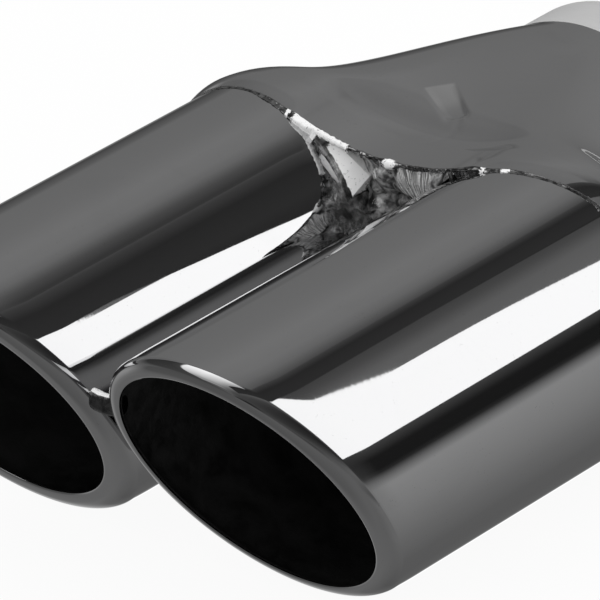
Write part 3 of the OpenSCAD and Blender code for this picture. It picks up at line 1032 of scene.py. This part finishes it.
def beadPath(side):
    # points of the shell's edge with the angle round the tube, from web to web
    station = stationAt(0)
    end = math.acos((station[3] - station[1]) / station[2])
    lobeCount = int(2 * end * station[2] / bead["lengthStep"])
    web = []
    for i in range(1, 400):
        x, z = ringPoint(station, shell["lobeSteps"] + shell["webSteps"] * i / 800)
        if x < bead["webEnd"]:
            break
        web.append((x, z))
    steps = [web[k] for k in range(0, len(web), 5)]
    lobe = [(station[1] + station[2] * math.cos(end * (2 * k / lobeCount - 1)),
             station[2] * math.sin(end * (2 * k / lobeCount - 1))) for k in range(lobeCount + 1)]
    return [(x, -z) for x, z in reversed(steps)] + lobe + steps


def makeBead(name, side):
    centre = stationAt(0)[1]
    path = beadPath(side)
    rings = []
    for number, (x, z) in enumerate(path):
        fromEnd = min(number, len(path) - 1 - number) / 14
        taper = ease(fromEnd)
        reach = math.hypot(x - centre, z)
        ex, ez = (x - centre) / reach, z / reach
        angle = abs(math.degrees(math.atan2(z, x - centre)))
        upper = z > 0
        edge = shellEdge(x)
        width = weldWidth(side, angle, upper) * (0.35 + 0.65 * taper)
        place = (side * x * 1000, edge * 1000, z * 1000)
        width *= 1 + 0.25 * rough(place, 0.45, 3) + 0.12 * rough(place, 1.3, 9)
        height = reach - tubes["outer"]
        drop = shell["rampDrop"] * ease((abs(x) - shellFront["web"]) / 0.006)
        inner = ease((angle - 83) / 12)
        lap = 0.0002 + 0.0003 * inner
        proud = -0.00012 + 0.00027 * inner
        sunk = tubes["drawnDepth"] * max(0, min(1, (angle - 96) / 28)) + 0.00005
        crest = height - drop * 0.94 + proud * taper
        waist = max(crest - 0.62 * width, 0.25 * crest)
        foot = width if height < 0.002 else width + 0.35 * (waist + sunk)
        onShell = [height - drop * max(0, 1 - d / shell["rampLength"]) ** 2 for d in (lap, 0.45 * lap)]
        outline = [(lap, onShell[0] - 0.00006), (0.45 * lap, onShell[1] + proud * taper),
                   (0.00005, crest), (-0.3 * width, crest - 0.18 * width), (-width, waist),
                   (-0.5 * (width + foot), 0.4 * waist - 0.3 * sunk), (-foot, -sunk * 0.75),
                   (-foot - 0.0004, -sunk - 0.00012)]
        smoothLine = []
        parts = bead["profile"]
        for k in range(parts + 1):
            f = k / parts * (len(outline) - 1)
            i = min(int(f), len(outline) - 2)
            t = f - i
            a, b = outline[max(i - 1, 0)], outline[i]
            c, d = outline[i + 1], outline[min(i + 2, len(outline) - 1)]
            smoothLine.append([0.5 * (2 * b[j] + (c[j] - a[j]) * t
                                      + (2 * a[j] - 5 * b[j] + 4 * c[j] - d[j]) * t * t
                                      + (3 * b[j] - a[j] - 3 * c[j] + d[j]) * t ** 3) for j in (0, 1)])
        ring = []
        for k, (back, up) in enumerate(smoothLine):
            mask = math.sin(math.pi * k / parts)
            level = 1 if angle > 84 else 0.35
            spot = (side * x * 1000 + back * 700, (edge + back) * 1000, z * 1000 + up * 500)
            up += mask * level * (bead["lump"] * rough(spot, 0.9, 5) + bead["grain"] * rough(spot, 3.1, 8)
                                  + 0.00006 * rough(spot, 1.9, 21))
            r = tubes["outer"] + up
            ring.append(Vector((side * (centre + ex * r), edge + back, ez * r)))
        for back, up in ((-width, -sunk - bead["under"]), (lap, -bead["under"] - sunk)):
            r = tubes["outer"] + up
            ring.append(Vector((side * (centre + ex * r), edge + back, ez * r)))
        rings.append(ring)
    piece = layStrip(name, rings, weldBead)
    # painted highlights along the bead
    paintHighlight(piece, beadHighlight)
    smooth(piece, 50)
    return piece


for name, node, side in (("leftTubeWeld", "tube_weld_left", -1),
                         ("rightTubeWeld", "tube_weld_right", 1)):
    piece = makeBead(name, side)
    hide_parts(node)
    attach(piece, "root")
print("tube welds made")

filler = dict(columns=130, rows=110, floor=0.0150, back=-0.0878, front=-0.0962,
              hollow=(0.0022, 0.0202), hollowSize=0.0046, hollowDepth=0.0060)
webLine = [ringPoint(stationAt(0), shell["lobeSteps"] + shell["webSteps"] * k / 400) for k in range(401)]
webHeights = [(x, z) for x, z in reversed(webLine)]


def fillerPlace(u, v):
    # u across from the left tube to the right one, v down from the shell's edge
    z0 = 0.0335 + (filler["floor"] - 0.0335) * v
    half = stationAt(0)[1] - math.sqrt(tubes["outer"] ** 2 - z0 ** 2) + 0.0014
    x = (2 * u - 1) * half
    top = between(webHeights, x) - 0.0006
    z = top + (filler["floor"] - top) * v
    below = top - z
    place = (x * 1000, 5, z * 1000)
    # on the left the weld lies well back under the shell's edge
    left = ease((-0.0005 - x) / 0.0085) * ease(below / 0.0022) * ease((z - 0.0175) / 0.004)
    depth = 0.0036 * left
    dx, dz = (x - filler["hollow"][0]) / filler["hollowSize"], (z - filler["hollow"][1]) / filler["hollowSize"]
    depth += filler["hollowDepth"] * (1 - 0.6 * left) * math.exp(-(dx * dx * 1.3 + dz * dz * 1.5))
    depth += 0.0012 * ease((0.0335 - z) / 0.011)
    calm = ease((x - 0.002) / 0.004) * ease((z - 0.022) / 0.004)
    rise = 0.0011 * rough(place, 0.3, 7) + 0.0004 * rough(place, 0.75, 11)
    depth += (1 - 0.75 * calm) * rise + 0.00004 * rough(place, 2.4, 13)
    depth -= 0.0011 * calm * ease(below / 0.004)
    return Vector((x, filler["front"] + min(depth, 0.0078), z))


def makeFiller(name, flip):
    clearSelection()
    bpy.ops.mesh.primitive_grid_add(x_subdivisions=filler["columns"], y_subdivisions=filler["rows"], size=1)
    piece = bpy.context.object
    piece.name = name
    for vertex in piece.data.vertices:
        place = fillerPlace(vertex.co.x + 0.5, vertex.co.y + 0.5)
        vertex.co = (place.x, place.y, place.z * flip)
    bpy.ops.object.mode_set(mode="EDIT")
    bpy.ops.mesh.select_all(action="SELECT")
    bpy.ops.mesh.extrude_region_move(TRANSFORM_OT_translate={"value": (0, 0.004, 0)})
    bpy.ops.transform.resize(value=(1, 0, 1), center_override=(0, filler["back"], 0))
    bpy.ops.mesh.select_all(action="SELECT")
    bpy.ops.mesh.normals_make_consistent(inside=False)
    bpy.ops.object.mode_set(mode="OBJECT")
    piece.data.materials.append(weldBrushed)
    # painted highlights on the filler
    paintHighlight(piece, fillerHighlight)
    smooth(piece, 50)
    return piece


for name, node, flip in (("upperFiller", "crotch_weld_upper", 1),
                         ("lowerFiller", "crotch_weld_lower", -1)):
    piece = makeFiller(name, flip)
    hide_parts(node)
    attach(piece, "root")
print("fillers made")

fillet = dict(toes=[(65, 0.0004), (57, 0.0007), (50, 0.0013), (43, 0.0026), (34, 0.0046)],
              heels=[(-0.0212, -0.0957, 0.0354), (-0.0172, -0.0957, 0.0344), (-0.0135, -0.0956, 0.0324), (-0.0098, -0.0950, 0.0296),
                     (-0.0062, -0.0934, 0.0256)], rings=60, across=22, hollow=0.1)
rings = []
for number in range(fillet["rings"] + 1):
    t = number / fillet["rings"]
    angle = 65 - 31 * t
    ahead = between([(65 - a, length) for a, length in fillet["toes"]], 65 - angle)
    a = math.radians(angle)
    centre = -stationAt(0)[1]
    toe = Vector((centre + 0.03785 * math.cos(a), shell["edge"] - ahead, 0.03785 * math.sin(a)))
    k = min(int(t * 4), 3)
    heel = Vector(fillet["heels"][k]).lerp(Vector(fillet["heels"][k + 1]), t * 4 - k)
    out = Vector((math.cos(a), 0, math.sin(a)))
    middle = (toe + heel) / 2 - fillet["hollow"] * (heel - toe).length * (Vector((0, -1, 0)) + out).normalized()
    ring = []
    for step in range(fillet["across"] + 1):
        f = step / fillet["across"]
        ring.append(toe * (1 - f) ** 2 + middle * (2 * f * (1 - f)) + heel * f * f)
    ring.append(Vector((heel.x - 0.0005, -0.0890, heel.z)))
    ring.append(Vector((centre + 0.0371 * math.cos(a), -0.0890, 0.0371 * math.sin(a))))
    ring.append(toe - 0.0008 * out)
    rings.append(ring)
piece = layStrip("leftFillet", rings, weldBead)


def filletHighlight(x, y, z):
    # a painted highlight across its middle, standing in for the light it reflects; dull at both edges
    angle = math.degrees(math.atan2(z, x + stationAt(0)[1]))
    away = math.hypot(x + stationAt(0)[1], z) - tubes["outer"]
    return ease((57 - angle) / 4) * ease((angle - 33.6) / 1.5) * ease((away - 0.0001) / 0.0006)


# painted highlight on the fillet
paintHighlight(piece, filletHighlight)
smooth(piece, 40)
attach(piece, "root")

edgeBead = dict(left=-0.0215, right=0.0215, around=18,
                sizes=[(-0.0215, 0.00055), (-0.019, 0.00085), (-0.012, 0.0008), (-0.0108, 0.0010), (-0.0098, 0.0005),
                       (-0.0078, 0.0004), (-0.0062, 0.00095), (-0.0052, 0.0004), (-0.004, 0.0007), (-0.003, 0.0003),
                       (-0.0012, 0.0005), (0.0012, 0.0013), (0.0035, 0.0011), (0.0055, 0.0005), (0.009, 0.0007),
                       (0.0125, 0.00055), (0.0175, 0.0006), (0.0215, 0.0005)])
rings = []
run = [place for place in webHeights if edgeBead["left"] <= place[0] <= edgeBead["right"]]
for number, (x, z) in enumerate(run):
    size = between(edgeBead["sizes"], x) * (1 + 0.3 * rough((x * 1000, 0, 0), 1.1, 17))
    size *= ease(min(number, len(run) - 1 - number) / 10) * 0.97 + 0.03
    ring = []
    for k in range(edgeBead["around"]):
        a = 2 * math.pi * k / edgeBead["around"]
        place = (x * 1000, math.cos(a) * 2, math.sin(a) * 2)
        wobble = 1 + 0.18 * rough(place, 0.8, 23) + 0.1 * rough(place, 2.4, 29)
        ring.append(Vector((x, shell["edge"] - 0.0001 + size * math.cos(a) * wobble,
                            z - 0.0002 - 0.55 * size + size * math.sin(a) * wobble)))
    rings.append(ring)
piece = layStrip("edgeBead", rings, weldBead)
# painted highlights along the edge bead
paintHighlight(piece, beadHighlight)
smooth(piece, 60)
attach(piece, "root")
print("edge bead made")

tack = dict(top=0.0130, bow=0.0122, back=-0.2012, halfLength=0.0019, halfDepth=0.0026,
            halfWidth=0.0052, steps=40, around=28)
rings = []
for step in range(tack["steps"] + 1):
    x = tack["halfWidth"] * (2 * step / tack["steps"] - 1)
    top = tack["top"] + x * x / (2 * tack["bow"])
    ring = []
    for k in range(tack["around"]):
        a = 2 * math.pi * k / tack["around"]
        place = (x * 1000, math.cos(a) * 3, math.sin(a) * 3)
        swell = 1 + 0.05 * rough(place, 0.8, 2) + 0.03 * rough(place, 2.1, 6)
        ring.append(Vector((x, tack["back"] + tack["halfLength"] * math.cos(a) * swell,
                            top - tack["halfDepth"] + tack["halfDepth"] * math.sin(a) * swell)))
    rings.append(ring)
piece = layStrip("mouthTack", rings, weldShaded)
# painted highlight along the tack's top, over the painted shade of its darker metal
paintHighlight(piece, lambda x, y, z: 0.8 * ease((z - (tack["top"] + x * x / (2 * tack["bow"])) + 0.0006) / 0.0004))
smooth(piece, 60)
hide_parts("tube_tack_weld")
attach(piece, "root")
print("tack made")
